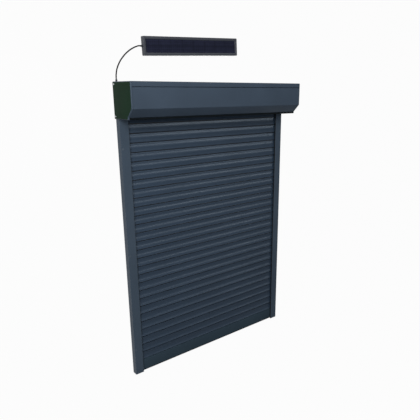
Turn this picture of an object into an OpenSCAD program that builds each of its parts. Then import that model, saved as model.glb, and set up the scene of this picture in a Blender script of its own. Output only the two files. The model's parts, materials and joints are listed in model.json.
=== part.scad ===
// Outside roller shutter with a boxed winding tube, guide rails, a slat curtain and a wall solar panel.
// X runs along the box, Y points into the wall and Z points up. The wall plane is Y = 0, and the
// origin is the middle of the rail feet on that plane.

/* [Overall] */
// Width over the two end caps
shutter_w = 900; // [700:10:1300]
// Height from the rail feet to the top of the box
shutter_h = 1250; // [950:10:1400]

/* [Box] */
// Height and depth of the box section
box_size = 137; // [130:1:165]
// Bevel along the lower front edge, measured along the front
bevel = 32; // [24:1:40]
// Upright edge between the bevel and the underside
under_lip = 8; // [5:0.5:14]
// Height of the top panel's front lip
lip_h = 18.5; // [12:0.5:26]
// Open joint between the lip and the front cover
lip_joint = 2; // [1:0.5:4]
// How far the front cover reaches up behind the lip
cover_tuck = 6; // [4:0.5:9]
// Sheet thickness of the box panels
box_sheet = 1.5; // [1:0.1:2]
// Thickness of the end caps
cap_t = 7; // [5:0.5:10]
// Length of the end cap tongues inside the panels
cap_tongue_l = 12; // [8:1:18]
// Width of the end cap tongues
cap_tongue_w = 40; // [25:1:50]
// Thickness of the end cap tongues
cap_tongue_t = 2.5; // [2:0.1:4]
// Distance of the end cap screws from the wall
cap_screw_y = 13; // [11:0.5:18]
// Distance of the end cap screws from the top and bottom of the box
cap_screw_z = 10; // [8:0.5:16]
// Diameter of the end cap screws
cap_screw_d = 4; // [3:0.1:5]
// Length of the end cap screws under the head
cap_screw_l = 15; // [12:1:16]
// Diameter of the end cap screws' heads
cap_head_d = 7.6; // [6:0.1:9]
// Diameter of the flat top of these heads
cap_head_top_d = 6; // [4:0.1:6]
// Height of these heads
cap_head_h = 2.4; // [1.5:0.1:3]
// Room of the end cap screws in their ports
cap_screw_room = 0.3; // [0.1:0.05:0.6]
// Wall around the end cap screws in their ports
port_wall = 2; // [1.5:0.1:2.5]
// Height of the upright edge behind the curtain slot
slot_edge_h = 10; // [6:1:14]
// Distance of the curtain slot's front edge from the rail faces
slot_edge_gap = 3; // [2:0.5:6]

/* [Rails] */
// Width of a rail's front face
rail_w = 38; // [36:0.5:50]
// Depth of a rail off the wall
rail_d = 27; // [25:0.5:36]
// Distance of a rail's outer side from the end of the box
rail_inset = 6.5; // [4:0.5:9]
// Wall thickness of the rails
rail_wall = 1.8; // [1.4:0.1:2.2]
// Depth from a rail's front face to the curtain pocket
rail_face_t = 5; // [4.6:0.1:7]
// Wall on both sides of the hollow in a rail's face
rail_face_wall = 1.5; // [1.2:0.1:1.8]
// Rounding of the rail's long edges
rail_round = 1; // [0.5:0.1:2]
// Diameter of the wall fixing holes
fix_d = 5.5; // [4:0.1:6.5]
// Diameter of the access holes in front of them
fix_access_d = 8; // [7:0.1:8.6]
// Height of the lowest fixing holes
fix_low = 120; // [80:5:200]
// Distance between the lowest and the highest fixing holes
fix_span = 880; // [500:10:900]
// Width of the rim of the caps over the access holes
hole_cap_rim = 1; // [0.5:0.1:1.5]
// Thickness of the heads of these caps
hole_cap_t = 0.8; // [0.5:0.1:1.5]
// How far the stems of these caps reach past the rail's wall
hole_cap_reach = 1; // [0.5:0.1:3]
// Length of the end cap pegs inside the rails
rail_peg_l = 25; // [15:1:40]
// Length of the foot plugs inside the rails
foot_plug_l = 12; // [8:1:20]

/* [Curtain] */
// Height from one slat to the next
slat_pitch = 37; // [34:0.5:42]
// Open groove between two slats
slat_groove = 4; // [3:0.5:5]
// Thickness of a slat
slat_t = 5.4; // [5:0.1:6.5]
// Depth of a slat's hollow front
slat_dish = 2.2; // [1:0.1:3]
// Wall thickness of the slats
slat_wall = 0.9; // [0.7:0.05:1.1]
// How far the slats reach into the rails
slat_entry = 22; // [18:0.5:24]
// Free depth behind the ends of the slats
slat_end_room = 3; // [2.5:0.1:4]
// Free depth before and behind the slats inside the rails
slat_play = 3.2; // [2.8:0.1:3.6]
// Diameter of the bead that hooks a slat into the next one
bead_d = 2.6; // [2.4:0.1:3]
// Thickness of the neck that carries the bead
neck_t = 1; // [0.8:0.1:1.2]
// Room around the bead and the neck
hook_play = 0.5; // [0.3:0.05:0.6]
// Thickness of the slat under the bead
hook_lip = 1.4; // [1:0.1:2]
// Thickness of the heads of the slat end clips
clip_head_t = 1.5; // [1:0.1:2]
// Length of the slat end clips inside the slats
clip_l = 15; // [8:1:25]

/* [Bottom bar] */
// Height of the bottom bar above the rail feet
bar_h = 55.5; // [45:0.5:70]
// Thickness of the bottom bar
bar_t = 8; // [7:0.1:8.6]
// Wall thickness of the bottom bar
bar_wall = 1.3; // [1:0.1:1.8]
// Height of the rubber seal under the bar
seal_h = 5; // [3.5:0.5:8]
// How far the seal's foot is set in from the bar's faces
seal_foot_set = 0.5; // [0.3:0.1:1.5]
// Width of the seal's stem
seal_stem_w = 3; // [2:0.1:3.6]
// Height of the seal's stem
seal_stem_h = 4; // [3:0.1:6]
// Room before and behind the bar's stops inside the rails
stop_room = 1; // [0.6:0.1:2]
// Height of the stops' lower ends over the underside of the bar
stop_rise = 4; // [2:0.5:10]
// Room between the raised bar and the underside of the box
bar_top_room = 2; // [1:0.5:6]
// How far the rail inlets reach down into the rails
inlet_drop = 20; // [15:1:25]
// Height of the flared part of the rail inlets
inlet_flare_h = 18; // [12:1:24]
// Forward reach of the flare
inlet_flare_y = 12; // [8:1:16]
// Wall thickness of the rail inlets
inlet_t = 2; // [1.6:0.1:2.2]

/* [Rail seals] */
// Distance of the seal groove from the rail's mouth
seal_set = 2; // [1.5:0.1:3]
// Width of the seal groove
seal_w = 4; // [3:0.1:5]
// Depth of the seal groove
seal_d = 2; // [1.5:0.1:2.4]
// Width of the seal's lip
seal_lip_w = 1.4; // [1:0.1:2]
// Thickness of the strip that covers the rail's mouth
seal_cover_t = 0.8; // [0.5:0.1:1.2]
// Width of that strip
seal_cover_w = 5.2; // [3:0.1:5.4]
// Room between the seal's lip and what passes it
seal_lip_room = 0.3; // [0.2:0.05:0.6]
// Room between the seals' upper ends and the rail inlets
seal_top_room = 1; // [0.5:0.1:5]

/* [Winding tube] */
// Width across the flats of the tube
tube_af = 40; // [38:0.5:50]
// Wall thickness of the tube
tube_wall = 0.8; // [0.6:0.1:1]
// Gap between the motor head and the tube
tube_end_gap = 4; // [2:0.5:8]
// Diameter of the motor
motor_d = 35; // [30:0.5:36]
// How much slimmer the motor's collar is than the motor
collar_step = 2; // [1:0.5:4]
// Length of the motor inside the tube
motor_l = 400; // [300:10:480]
// Diameter of the motor head
head_d = 44; // [40:1:52]
// Length of the motor head
head_l = 25; // [18:1:35]
// Side of the square stub that holds the motor head
stub_side = 12; // [8:0.5:16]
// Side of the motor bracket
bracket_side = 64; // [50:1:80]
// Rounding of the motor bracket's corners
bracket_round = 6; // [2:0.5:10]
// Thickness of the motor bracket
bracket_t = 3; // [2:0.1:5]
// Length of the crown on the motor's collar
crown_l = 15; // [10:1:20]
// Room behind the crown on the collar
crown_room = 1; // [0.5:0.1:3]
// Length of the drive wheel
wheel_l = 20; // [12:1:30]
// Diameter of the motor's output shaft
shaft_d = 10; // [8:0.5:14]
// Length of the motor's output shaft inside the motor
shaft_l = 14; // [8:1:20]
// Room behind the inner end of that shaft
shaft_room = 2; // [1:0.5:5]
// Gap between the motor and the drive wheel
wheel_gap = 2; // [1:0.5:5]
// Length of the idler plug inside the tube
idler_plug_l = 35; // [20:1:60]
// Diameter of the idler's flange
idler_flange_d = 48; // [44:1:56]
// Thickness of the idler's flange
idler_flange_t = 3; // [2:0.5:5]
// Gap between the idler's flange and its bearing
idler_gap = 2; // [1:0.5:4]
// Room between the end of the idler axle and the end cap
axle_room = 1; // [0.5:0.1:3]
// Diameter of the idler axle
axle_d = 12; // [8:0.5:16]
// Outer diameter of the idler bearing
bearing_d = 40; // [30:1:50]
// Length of the idler bearing
bearing_l = 10; // [8:0.5:14]
// Thickness of the hanger straps
strap_t = 0.8; // [0.6:0.1:1.2]
// Width of the hanger straps
strap_w = 22; // [15:1:30]
// Distance between the hanger straps
strap_pitch = 270; // [150:10:300]
// Room between the straps and the tube's corners
strap_room = 0.3; // [0.2:0.1:1]
// Height of the straps' hooks above the bead that they hold
strap_hook_top = 2; // [1:0.1:4]
// Turn of the straps around the tube
strap_turn = 110; // [70:5:150]

/* [Battery] */
// Diameter of the battery pack
battery_d = 20; // [16:1:22]
// Length of the battery pack
battery_l = 300; // [200:10:500]
// Distance of the battery's axis from the box panels
battery_set = 15; // [14:0.5:16]
// Width of the battery's feet
battery_foot_w = 14; // [8:1:20]

/* [Solar panel] */
// Width of the panel
panel_w = 469; // [350:1:600]
// Height of the panel
panel_h = 70; // [60:1:120]
// Depth of the panel's frame
panel_d = 17; // [14:0.5:25]
// Width of the frame's front border
panel_border = 10.5; // [9:0.5:18]
// Wall thickness of the panel's frame
panel_wall = 2; // [1.5:0.1:3]
// Rounding of the frame's corners
panel_round = 3; // [1:0.5:6]
// Rounding of the corners of the frame's window
window_round = 1; // [0.5:0.5:3]
// Thickness of the glazed cell plate
cells_t = 4; // [3:0.1:5]
// Place of the panel's middle along the box
panel_x = -88; // [-200:1:0]
// Height of the panel's lower edge over the box, at its middle
panel_rise = 105; // [60:1:200]
// Turn of the panel on the wall in degrees, with its right end up
panel_tilt = 2.5; // [0:0.1:5]
// Distance of the panel's back from the wall
panel_stand = 13; // [8:0.5:30]
// Distance between the panel's wall brackets
bracket_pitch = 300; // [150:10:330]
// Width of the panel's wall brackets
bracket_w = 24; // [18:1:40]
// Thickness of the panel's wall brackets
panel_bracket_t = 3; // [2:0.1:4]
// Outer diameter of the brackets' spacers
spacer_d = 14; // [10:0.5:20]
// Diameter of the brackets' wall holes
panel_hole_d = 5; // [4:0.1:6]
// Diameter of the cable
cable_d = 5; // [4:0.1:6]
// Outer diameter of the cable glands
gland_d = 9; // [8:0.1:10]
// Wall of the glands' necks around the cable
gland_wall = 1; // [0.8:0.1:1.5]
// Length of the cable glands
gland_l = 8; // [6:0.5:12]
// Length of the glands' wider part
gland_nut_l = 4; // [3:0.5:6]
// Length of the glands' stems inside the walls
gland_stem_l = 4; // [3:0.5:5]
// Distance of the box gland from the wall
gland_set = 14; // [10:0.5:30]
// Distance of the box gland from the end cap
gland_edge = 0.5; // [0.5:0.5:40]
// Distance of the panel gland from the panel's back
panel_gland_set = 7; // [6:0.5:9]

/* [Hidden] */
$fn = 96;
// Sliding room of a plug or tongue in its seat
fit = 0.2;
// Running room of a turning fit, on the radius
run_fit = 0.05;
// Overshoot of cutters, so that no two faces of a cut coincide
over = 1;
// Overlap of the shapes that make one piece
join = 0.1;
// Sides of the winding tube, and half the angle that one of them takes
tube_sides = 8;
half_side = 180 / tube_sides;

// Places of the box
box_z0 = shutter_h - box_size;
box_y0 = -box_size;
front_z0 = box_z0 + under_lip + bevel;
bevel_y1 = box_y0 + bevel;
panel_len = shutter_w - 2 * cap_t;
cap_face_x = shutter_w / 2 - cap_t;
box_outline = [
    [0, box_z0],
    [0, shutter_h],
    [box_y0, shutter_h],
    [box_y0, front_z0],
    [bevel_y1, box_z0 + under_lip],
    [bevel_y1, box_z0]
];

port_bore = cap_screw_d + cap_screw_room;
port_d = port_bore + 2 * port_wall;

// Places of the rails and the curtain
slat_depth = slat_t + slat_dish;
pocket_w = slat_depth + 2 * slat_play;
pocket_l = slat_entry + slat_end_room;
curtain_y = -rail_d + rail_face_t + pocket_w / 2;
pocket_y0 = curtain_y - pocket_w / 2;
pocket_y1 = curtain_y + pocket_w / 2;
rail_mouth = shutter_w / 2 - rail_inset - rail_w;
chamber_x0 = pocket_l + rail_wall;
chamber_w = rail_w - chamber_x0 - rail_wall;
chamber_d = rail_d - 2 * rail_wall;
fix_x = chamber_x0 + chamber_w / 2;
fix_heights = [fix_low, fix_low + fix_span / 2, fix_low + fix_span];
seal_zone = seal_set + seal_w + rail_wall;
slat_len = 2 * (rail_mouth + slat_entry);
slot_edge_y = -rail_d - slot_edge_gap;

// A slat's section: two arcs about one centre in front of the curtain
body_h = slat_pitch - slat_groove;
front_r = (pow(body_h / 2, 2) + pow(slat_dish, 2)) / (2 * slat_dish);
back_r = front_r + slat_t;
arc_y = slat_dish - slat_depth / 2 - front_r;
socket_d = bead_d + 2 * hook_play;
socket_z = hook_lip + socket_d / 2;
hook_y = arc_y + sqrt(pow(front_r + slat_t / 2, 2) - pow(body_h / 2 - socket_z, 2));
// A hooked bead lies a little above its socket's middle, so that it just clears the socket's top
bead_rise = hook_play / 2;
tunnel_z0 = socket_z + socket_d / 2 + slat_wall;
tunnel_z1 = body_h - slat_wall;

// The row of slats, from the bottom bar up into the box
slat_z0 = bar_h + slat_groove;
slat_count = floor((box_z0 - slat_z0) / slat_pitch) + 1;
slat_names = [for (i = [1 : slat_count]) str("slat_", i < 10 ? "0" : "", i)];
top_slat_z = slat_z0 + (slat_count - 1) * slat_pitch;

// The bar's lift ends where its stops meet the rail inlets
stop_top = bar_h + bar_top_room - inlet_drop;

// Places along the winding tube's axis
tube_y = -box_size / 2;
tube_z = box_z0 + box_size / 2;
head_x0 = -cap_face_x + bracket_t;
motor_x0 = head_x0 + head_l;
motor_x1 = motor_x0 + motor_l;
tube_x0 = motor_x0 + tube_end_gap;
bearing_x0 = cap_face_x - bearing_l;
idler_x0 = bearing_x0 - idler_flange_t - idler_gap;
tube_inner = tube_af - 2 * tube_wall;
collar_d = motor_d - collar_step;
collar_x1 = tube_x0 + crown_l + crown_room;
wheel_x0 = motor_x1 + wheel_gap;

// The straps run from the top slat's bead to the tube's upper back
strap_r = tube_af / 2 / cos(half_side) + strap_room;
hook_block_h = socket_z + socket_d / 2 + strap_hook_top;
strap_foot = [curtain_y + hook_y, top_slat_z + slat_pitch + hook_block_h];
strap_dir = strap_foot - [tube_y, tube_z];
strap_angle = atan2(strap_dir[1], strap_dir[0]) + acos((strap_r + strap_t / 2) / norm(strap_dir));
strap_top = [tube_y, tube_z] + (strap_r + strap_t / 2) * [cos(strap_angle), sin(strap_angle)];

// Places of the solar panel and its cable
panel_z = shutter_h + panel_rise + panel_h / 2;
panel_y0 = -panel_stand - panel_d;
panel_gland_y = -panel_stand - panel_gland_set;
gland_x = -cap_face_x + gland_d / 2 + gland_edge;
gland_y = -gland_set;
// The two ends of the cable, at the tips of its glands
box_tip = [gland_x, gland_y, shutter_h + gland_l];
gland_reach = panel_w / 2 + gland_l;
panel_tip = [panel_x - gland_reach * cos(panel_tilt), panel_gland_y,
             panel_z - gland_reach * sin(panel_tilt)];
// Shares of the way across and of the way up, as the cable rises and bends over to the panel
cable_shares = [
    [0, 0], [0, 0.075], [0.012, 0.17], [0.045, 0.29], [0.105, 0.415], [0.19, 0.54],
    [0.3, 0.66], [0.435, 0.775], [0.59, 0.875], [0.755, 0.95], [0.905, 0.9965], [1, 1]
];
cable_span = panel_tip - box_tip;
cable_route = [for (share = cable_shares)
    box_tip + [share[0] * cable_span[0], share[1] * share[1] * cable_span[1], share[1] * cable_span[2]]];
cable_sides = 10;

// Colours as the photograph shows them
coat_colour = "#3e4853";
cap_colour = "#26322b";
underside_colour = "#171b1e";
rubber_colour = "#14171a";
plastic_colour = "#22272c";
steel_colour = "#a9aeb3";
motor_colour = "#d9dcdf";
cell_colour = "#191b2b";

// Shared shapes

// A section in Y and Z, drawn along X and centred on it
module along_x(length) {
    translate([-length / 2, 0, 0])
        rotate([90, 0, 90])
            linear_extrude(length)
                children();
}

// A section in Y and Z, drawn along X from x0 to x1
module between_x(x0, x1) {
    translate([(x0 + x1) / 2, 0, 0])
        along_x(x1 - x0)
            children();
}

// A round bar along X on the tube's axis
module on_axis(diameter, x0, x1) {
    translate([x0, tube_y, tube_z])
        rotate([0, 90, 0])
            cylinder(d = diameter, h = x1 - x0);
}

// An eight-sided bar along X on the tube's axis, given by its width across the flats
module octagon_on_axis(flats, x0, x1) {
    translate([x0, tube_y, tube_z])
        rotate([0, 90, 0])
            rotate(half_side)
                cylinder(d = flats / cos(half_side), h = x1 - x0, $fn = tube_sides);
}

// The same piece on the left and on the right
module both_sides() {
    for (side = [0, 1])
        mirror([side, 0, 0])
            children();
}

// A rectangle with round corners, from its lowest corner
module round_rect(width, height, radius) {
    translate([radius, 0])
        square([width - 2 * radius, height]);
    translate([0, radius])
        square([width, height - 2 * radius]);
    for (x = [radius, width - radius], y = [radius, height - radius])
        translate([x, y])
            circle(radius);
}

function unit(v) = v / norm(v);
function left_of(v) = [-v[1], v[0]];
function mitre_point(path, i, t) =
    let (last = len(path) - 1)
    let (before = left_of(unit(path[max(i, 1)] - path[max(i, 1) - 1])))
    let (after = left_of(unit(path[min(i, last - 1) + 1] - path[min(i, last - 1)])))
    let (middle = unit(before + after))
    path[i] + middle * t / (middle * before);

// A bent sheet: its outer face follows the path and its thickness lies to the left of it
module sheet(path, t) {
    last = len(path) - 1;
    polygon(concat(path, [for (i = [last : -1 : 0]) mitre_point(path, i, t)]));
}

// Box

// One end cap with its inner tongues and the peg that stands in the rail, on the right side
module end_cap() {
    tongue_y = tube_y - cap_tongue_w / 2;
    tongue_z = tube_z - cap_tongue_w / 2;
    inside = box_sheet + fit;
    peg_x0 = rail_mouth + chamber_x0 + fit;
    peg_y0 = -rail_d + rail_wall + fit;
    peg_bridge_h = cap_screw_z - port_d / 2 - fit;
    difference() {
        union() {
            between_x(cap_face_x, shutter_w / 2)
                polygon(box_outline);
            between_x(cap_face_x - cap_tongue_l, cap_face_x) {
                translate([tongue_y, shutter_h - inside - cap_tongue_t])
                    square([cap_tongue_w, cap_tongue_t]);
                translate([tongue_y, box_z0 + inside])
                    square([cap_tongue_w, cap_tongue_t]);
                translate([-inside - cap_tongue_t, tongue_z])
                    square([cap_tongue_t, cap_tongue_w]);
            }
            translate([peg_x0, peg_y0, box_z0 - rail_peg_l])
                cube([chamber_w - 2 * fit, chamber_d - 2 * fit, rail_peg_l]);
            translate([peg_x0, peg_y0, box_z0])
                cube([cap_face_x - peg_x0, chamber_d - 2 * fit, peg_bridge_h]);
        }
        for (z = [box_z0 + cap_screw_z, shutter_h - cap_screw_z])
            translate([cap_face_x - over, -cap_screw_y, z])
                rotate([0, 90, 0])
                    cylinder(d = cap_screw_d + 2 * fit, h = cap_t + 2 * over);
    }
}

module right_end_cap() {
    color(cap_colour)
        end_cap();
}

module left_end_cap() {
    color(cap_colour)
        mirror([1, 0, 0])
            end_cap();
}

// Flat back with a screw port along its top and a short one at each lower corner
module box_back_panel() {
    low_z = box_z0 + cap_screw_z;
    high_z = shutter_h - cap_screw_z;
    port_x0 = cap_face_x - cap_screw_l + cap_t - port_wall;
    color(coat_colour) {
        along_x(panel_len) {
            translate([-box_sheet, box_z0])
                square([box_sheet, box_size - box_sheet]);
            translate([0, high_z])
                screw_port();
        }
        both_sides()
            between_x(port_x0, cap_face_x)
                translate([0, low_z])
                    screw_port();
    }
}

// A tube for an end cap screw, on a web from the back panel
module screw_port() {
    difference() {
        union() {
            translate([-cap_screw_y, 0])
                circle(d = port_d);
            translate([-cap_screw_y, -box_sheet / 2])
                square([cap_screw_y, box_sheet]);
        }
        translate([-cap_screw_y, 0])
            circle(d = port_bore);
    }
}

// Flat top with a front lip
module box_top_panel() {
    color(coat_colour)
        difference() {
            along_x(panel_len)
                sheet([[0, shutter_h], [box_y0, shutter_h], [box_y0, shutter_h - lip_h]], box_sheet);
            translate([gland_x, gland_y, shutter_h - box_sheet - over])
                cylinder(d = cable_d + 2 * fit, h = box_sheet + 2 * over);
        }
}

// Removable front: a tongue behind the lip, the flat front, the bevel and a short return
module box_front_cover() {
    cover_top = shutter_h - lip_h - lip_joint;
    tuck_y = box_y0 + box_sheet + fit;
    step_z = cover_top - box_sheet;
    color(coat_colour)
        along_x(panel_len) {
            sheet([[box_y0, cover_top], [box_y0, front_z0], [bevel_y1, box_z0 + under_lip],
                   [bevel_y1 + under_lip, box_z0 + under_lip]], box_sheet);
            translate([box_y0 + box_sheet / 2, step_z])
                square([tuck_y + box_sheet - box_y0 - box_sheet / 2, box_sheet]);
            translate([tuck_y, step_z])
                square([box_sheet, cover_tuck + lip_joint + box_sheet]);
        }
}

// Underside with the upright edge below the bevel and another one before the curtain slot
module box_underside() {
    lip_y = bevel_y1 + box_sheet;
    color(underside_colour)
        along_x(panel_len)
            sheet([[lip_y, box_z0 + under_lip], [lip_y, box_z0], [slot_edge_y, box_z0],
                   [slot_edge_y, box_z0 + slot_edge_h]], box_sheet);
}

// Pan-head screws that hold the end caps
module box_screws() {
    color(steel_colour)
        both_sides()
            for (z = [box_z0 + cap_screw_z, shutter_h - cap_screw_z])
                translate([shutter_w / 2, -cap_screw_y, z])
                    rotate([0, 90, 0]) {
                        translate([0, 0, -cap_screw_l])
                            cylinder(d = cap_screw_d, h = cap_screw_l);
                        cylinder(d1 = cap_head_d, d2 = cap_head_top_d, h = cap_head_h);
                    }
}

// Winding tube

module winding_tube() {
    color(steel_colour)
        difference() {
            octagon_on_axis(tube_af, tube_x0, idler_x0);
            octagon_on_axis(tube_inner, tube_x0 - over, idler_x0 + over);
        }
}

// Motor can, with a slimmer collar for the crown and a bush for the output shaft
module motor_tube() {
    color(motor_colour)
        difference() {
            union() {
                on_axis(motor_d, collar_x1, motor_x1);
                on_axis(collar_d, motor_x0, collar_x1);
            }
            on_axis(shaft_d + 2 * run_fit, motor_x1 - shaft_l - shaft_room, motor_x1 + over);
        }
}

// Motor head with a square stub that stands in the bracket
module motor_head() {
    color(plastic_colour) {
        on_axis(head_d, head_x0, motor_x0);
        translate([head_x0 - bracket_t, tube_y - stub_side / 2, tube_z - stub_side / 2])
            cube([bracket_t + over, stub_side, stub_side]);
    }
}

module motor_bracket() {
    hole = stub_side + 2 * fit;
    color(steel_colour)
        translate([-cap_face_x, tube_y, tube_z])
            difference() {
                rotate([90, 0, 90])
                    linear_extrude(bracket_t)
                        translate([-bracket_side / 2, -bracket_side / 2])
                            round_rect(bracket_side, bracket_side, bracket_round);
                translate([-over, -hole / 2, -hole / 2])
                    cube([bracket_t + 2 * over, hole, hole]);
            }
}

// Ring that turns on the motor's collar and carries the tube's left end
module limit_crown() {
    color(plastic_colour)
        difference() {
            octagon_on_axis(tube_inner - 2 * fit, tube_x0, tube_x0 + crown_l);
            on_axis(collar_d + 2 * run_fit, tube_x0 - over, tube_x0 + crown_l + over);
        }
}

// Wheel on the motor's output shaft that drives the tube from inside
module drive_wheel() {
    color(plastic_colour) {
        octagon_on_axis(tube_inner - 2 * fit, wheel_x0, wheel_x0 + wheel_l);
        on_axis(shaft_d, motor_x1 - shaft_l, wheel_x0 + over);
    }
}

// Plug in the tube's right end, with a flange and the axle
module idler_cap() {
    color(plastic_colour) {
        octagon_on_axis(tube_inner - 2 * fit, idler_x0 - idler_plug_l, idler_x0);
        on_axis(idler_flange_d, idler_x0, idler_x0 + idler_flange_t);
        on_axis(axle_d, idler_x0 + idler_flange_t, cap_face_x - axle_room);
    }
}

module idler_bearing() {
    color(steel_colour)
        difference() {
            on_axis(bearing_d, bearing_x0, cap_face_x);
            on_axis(axle_d + 2 * run_fit, bearing_x0 - over, cap_face_x + over);
        }
}

// Battery tube on two feet, under the top panel's front edge
module battery_pack() {
    axis_y = box_y0 + battery_set;
    axis_z = shutter_h - battery_set;
    foot_x = battery_l / 2 - 2 * battery_foot_w;
    color(plastic_colour)
        translate([0, axis_y, axis_z]) {
            rotate([0, 90, 0])
                cylinder(d = battery_d, h = battery_l, center = true);
            for (x = [-foot_x, foot_x])
                translate([x - battery_foot_w / 2, -battery_d / 4, 0])
                    cube([battery_foot_w, battery_d / 2, battery_set - box_sheet]);
        }
}

// Curtain

// The hollow that takes the bead of the slat below, with its open slot
module socket_cut() {
    slot_w = neck_t + 2 * hook_play;
    translate([hook_y, socket_z])
        circle(d = socket_d);
    translate([hook_y - slot_w / 2, -over])
        square([slot_w, socket_z + over]);
}

// The neck and bead on top of a slat or the bar, from the shoulder at the given height
module bead_top(shoulder) {
    bead_z = shoulder + slat_groove + socket_z + bead_rise;
    translate([hook_y - neck_t / 2, shoulder - join])
        square([neck_t, bead_z - shoulder + join]);
    translate([hook_y, bead_z])
        circle(d = bead_d);
}

// A band of the slat's curve between two radii and two heights
module slat_band(r0, r1, z0, z1) {
    intersection() {
        translate([arc_y, body_h / 2])
            difference() {
                circle(r1, $fn = 360);
                circle(r0, $fn = 360);
            }
        translate([-slat_depth, z0])
            square([2 * slat_depth, z1 - z0]);
    }
}

module slat_section() {
    difference() {
        union() {
            slat_band(front_r, back_r, 0, body_h);
            bead_top(body_h);
        }
        slat_band(front_r + slat_wall, back_r - slat_wall, tunnel_z0, tunnel_z1);
        socket_cut();
    }
}

module slat(index) {
    color(coat_colour)
        translate([0, curtain_y, slat_z0 + index * slat_pitch])
            along_x(slat_len)
                slat_section();
}

// Clips that close every second slat and keep it from sliding sideways
module slat_end_clips() {
    room = slat_wall + fit;
    color(plastic_colour)
        both_sides()
            for (index = [0 : 2 : slat_count - 1])
                translate([0, curtain_y, slat_z0 + index * slat_pitch]) {
                    between_x(slat_len / 2, slat_len / 2 + clip_head_t)
                        slat_band(front_r + fit, back_r - fit, tunnel_z0 - slat_wall, body_h - fit);
                    between_x(slat_len / 2 - clip_l, slat_len / 2)
                        slat_band(front_r + room, back_r - room, tunnel_z0 + fit, tunnel_z1 - fit);
                }
}

// One strap: a socket over the top bead, a straight run and a bend round the tube
module strap_section() {
    reach = 3 * strap_r;
    turn_end = strap_angle + strap_turn;
    middle = strap_angle + strap_turn / 2;
    translate([curtain_y, top_slat_z + slat_pitch])
        difference() {
            translate([hook_y - slat_t / 2, 0])
                square([slat_t, hook_block_h]);
            socket_cut();
        }
    run = strap_top - strap_foot;
    translate(strap_foot)
        rotate(atan2(run[1], run[0]))
            translate([-strap_t / 2, -strap_t / 2])
                square([norm(run) + strap_t, strap_t]);
    translate([tube_y, tube_z])
        intersection() {
            difference() {
                circle(strap_r + strap_t, $fn = 180);
                circle(strap_r, $fn = 180);
            }
            polygon([[0, 0],
                     reach * [cos(strap_angle), sin(strap_angle)],
                     reach * [cos(middle), sin(middle)],
                     reach * [cos(turn_end), sin(turn_end)]]);
        }
}

module hanger_straps() {
    color(steel_colour)
        for (x = [-strap_pitch, 0, strap_pitch])
            between_x(x - strap_w / 2, x + strap_w / 2)
                strap_section();
}

// Hollow bar with a web, a bead on top and a slot for the seal below
module bottom_bar() {
    web_z = seal_h + seal_stem_h + 2 * bar_wall;
    hollow_w = bar_t - 2 * bar_wall;
    color(coat_colour)
        translate([0, curtain_y, 0])
            along_x(slat_len)
                difference() {
                    union() {
                        translate([-bar_t / 2, seal_h])
                            square([bar_t, bar_h - seal_h]);
                        bead_top(bar_h);
                    }
                    translate([-hollow_w / 2, web_z])
                        square([hollow_w, bar_h - bar_wall - web_z]);
                    translate([-seal_stem_w / 2 - fit, seal_h - over])
                        square([seal_stem_w + 2 * fit, seal_stem_h + fit + over]);
                }
}

// Rubber strip with a round underside that lands on the sill
module bottom_seal() {
    foot_w = bar_t - 2 * seal_foot_set;
    color(rubber_colour)
        translate([0, curtain_y, 0])
            along_x(slat_len) {
                intersection() {
                    translate([0, foot_w / 2])
                        circle(d = foot_w);
                    translate([-foot_w, 0])
                        square([2 * foot_w, min(seal_h, foot_w / 2)]);
                }
                translate([-foot_w / 2, min(seal_h, foot_w / 2) - join])
                    square([foot_w, max(seal_h - foot_w / 2, 0) + join]);
                translate([-seal_stem_w / 2, seal_h - join])
                    square([seal_stem_w, seal_stem_h + join]);
            }
}

// Plugs in the bar's ends with wide heads, which meet the rail inlets when the bar is up
module bar_stops() {
    web_z = seal_h + seal_stem_h + 2 * bar_wall;
    plug_w = bar_t - 2 * bar_wall - 2 * fit;
    head_w = pocket_w - 2 * stop_room;
    color(plastic_colour)
        translate([0, curtain_y, 0])
            both_sides() {
                between_x(slat_len / 2, slat_len / 2 + clip_head_t)
                    translate([-head_w / 2, seal_h + stop_rise])
                        square([head_w, stop_top - seal_h - stop_rise]);
                between_x(slat_len / 2 - clip_l, slat_len / 2)
                    translate([-plug_w / 2, web_z + fit])
                        square([plug_w, stop_top - web_z - fit]);
            }
}

// Rails

// Section of the right rail, from its mouth outward
module rail_section() {
    back_d = -pocket_y1;
    difference() {
        translate([0, -rail_d])
            round_rect(rail_w, rail_d, rail_round);
        translate([-over, pocket_y0])
            square([pocket_l + over, pocket_w]);
        translate([seal_set, pocket_y0 - seal_d])
            square([seal_w, pocket_w + 2 * seal_d]);
        translate([chamber_x0, -rail_d + rail_wall])
            square([chamber_w, chamber_d]);
        translate([seal_zone, pocket_y1 + rail_wall])
            square([pocket_l - seal_zone, back_d - 2 * rail_wall]);
        translate([seal_zone, -rail_d + rail_face_wall])
            square([pocket_l - seal_zone, rail_face_t - 2 * rail_face_wall]);
    }
}

// Right rail with its wall fixing holes and their access holes
module rail() {
    difference() {
        translate([rail_mouth, 0, 0])
            linear_extrude(box_z0)
                rail_section();
        for (z = fix_heights)
            translate([rail_mouth + fix_x, 0, z])
                rotate([90, 0, 0]) {
                    translate([0, 0, -over])
                        cylinder(d = fix_d, h = rail_wall + 2 * over);
                    translate([0, 0, rail_d - rail_wall - over])
                        cylinder(d = fix_access_d, h = rail_wall + 2 * over);
                }
    }
}

module right_rail() {
    color(coat_colour)
        rail();
}

module left_rail() {
    color(coat_colour)
        mirror([1, 0, 0])
            rail();
}

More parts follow.
